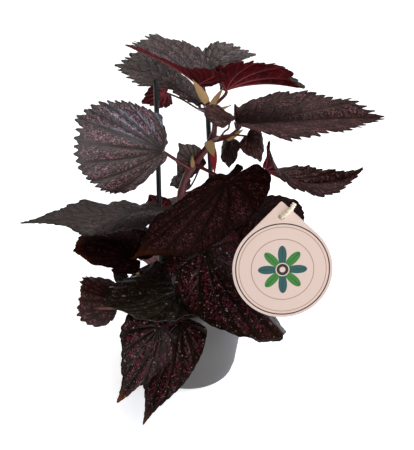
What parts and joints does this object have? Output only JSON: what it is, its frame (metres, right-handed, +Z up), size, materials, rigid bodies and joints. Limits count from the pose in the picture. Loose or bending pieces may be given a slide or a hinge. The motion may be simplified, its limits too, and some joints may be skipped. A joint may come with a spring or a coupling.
{
  "type": "potted begonia",
  "caption": "Cane begonia with large dark lopsided leaves on branching red canes, in a round tapered grey pot filled with soil, with stakes and a drop-shaped hang tag.",
  "frame": {"origin": "centre of the pot's flat base, on the surface that the pot stands on", "axes": "+Z up the pot and the canes; -Y towards the side that the tag faces; +X to the right as the tag is read"},
  "size_m": [0.312, 0.2695, 0.3209],
  "materials": {
    "pot_plastic": "matt grey moulded plastic",
    "potting_soil": "dark crumbly potting soil",
    "stake": "near-black green plastic",
    "leaf_dark": "near-black red-brown leaf with pink spots and a soft gloss",
    "leaf_red": "deep red leaf underside with raised veins",
    "stem": "dark red fleshy stem",
    "stipule": "dry tan papery scale",
    "bract": "red papery bract",
    "tag_card": "pinkish beige uncoated card",
    "tie": "soft cream cord"
  },
  "bodies": {
    "root": {"pot": "pot_plastic", "soil": "potting_soil", "stake_left": "stake", "stake_right": "stake", "leaf_crown_near": "leaf_dark", "leaf_crown_left": "leaf_dark", "leaf_crown_left_back": "leaf_red", "leaf_crown_back": "leaf_dark", "leaf_crown_right": "leaf_red", "leaf_upper_left": "leaf_dark", "leaf_upper_right": "leaf_dark", "leaf_middle_right": "leaf_dark", "leaf_middle_left": "leaf_dark", "leaf_inner_left": "leaf_dark", "leaf_inner_right": "leaf_dark", "leaf_lower_left": "leaf_dark", "leaf_front_upper": "leaf_dark", "leaf_front_middle": "leaf_dark", "leaf_front_lower": "leaf_dark", "leaf_hanging_left": "leaf_dark", "leaf_hanging_right": "leaf_dark", "leaf_young_fork": "leaf_dark", "leaf_young_right": "leaf_dark", "leaf_young_under": "leaf_dark", "leaf_young_left": "leaf_red", "leaf_young_inner": "leaf_dark", "leaf_young_inner_left": "leaf_dark", "leaf_young_low": "leaf_red", "leaf_young_side": "leaf_dark", "leaf_back_high": "leaf_dark", "leaf_back_left": "leaf_dark", "leaf_back_right": "leaf_dark", "leaf_back_side": "leaf_dark", "leaf_back_middle": "leaf_dark", "leaf_back_low_right": "leaf_dark", "leaf_back_low_left": "leaf_dark", "cane_main": "stem", "cane_left": "stem", "cane_front": "stem", "cane_back": "stem", "stipule_crown_left": "stipule", "stipule_crown_right": "stipule", "stipule_crown_small": "stipule", "stipule_fork_left": "stipule", "stipule_fork_right": "stipule", "stipule_node": "stipule", "stipule_low": "stipule", "bract_hanging": "bract", "tag": "tag_card", "tag_tie": "tie"}
  },
  "joints": []
}
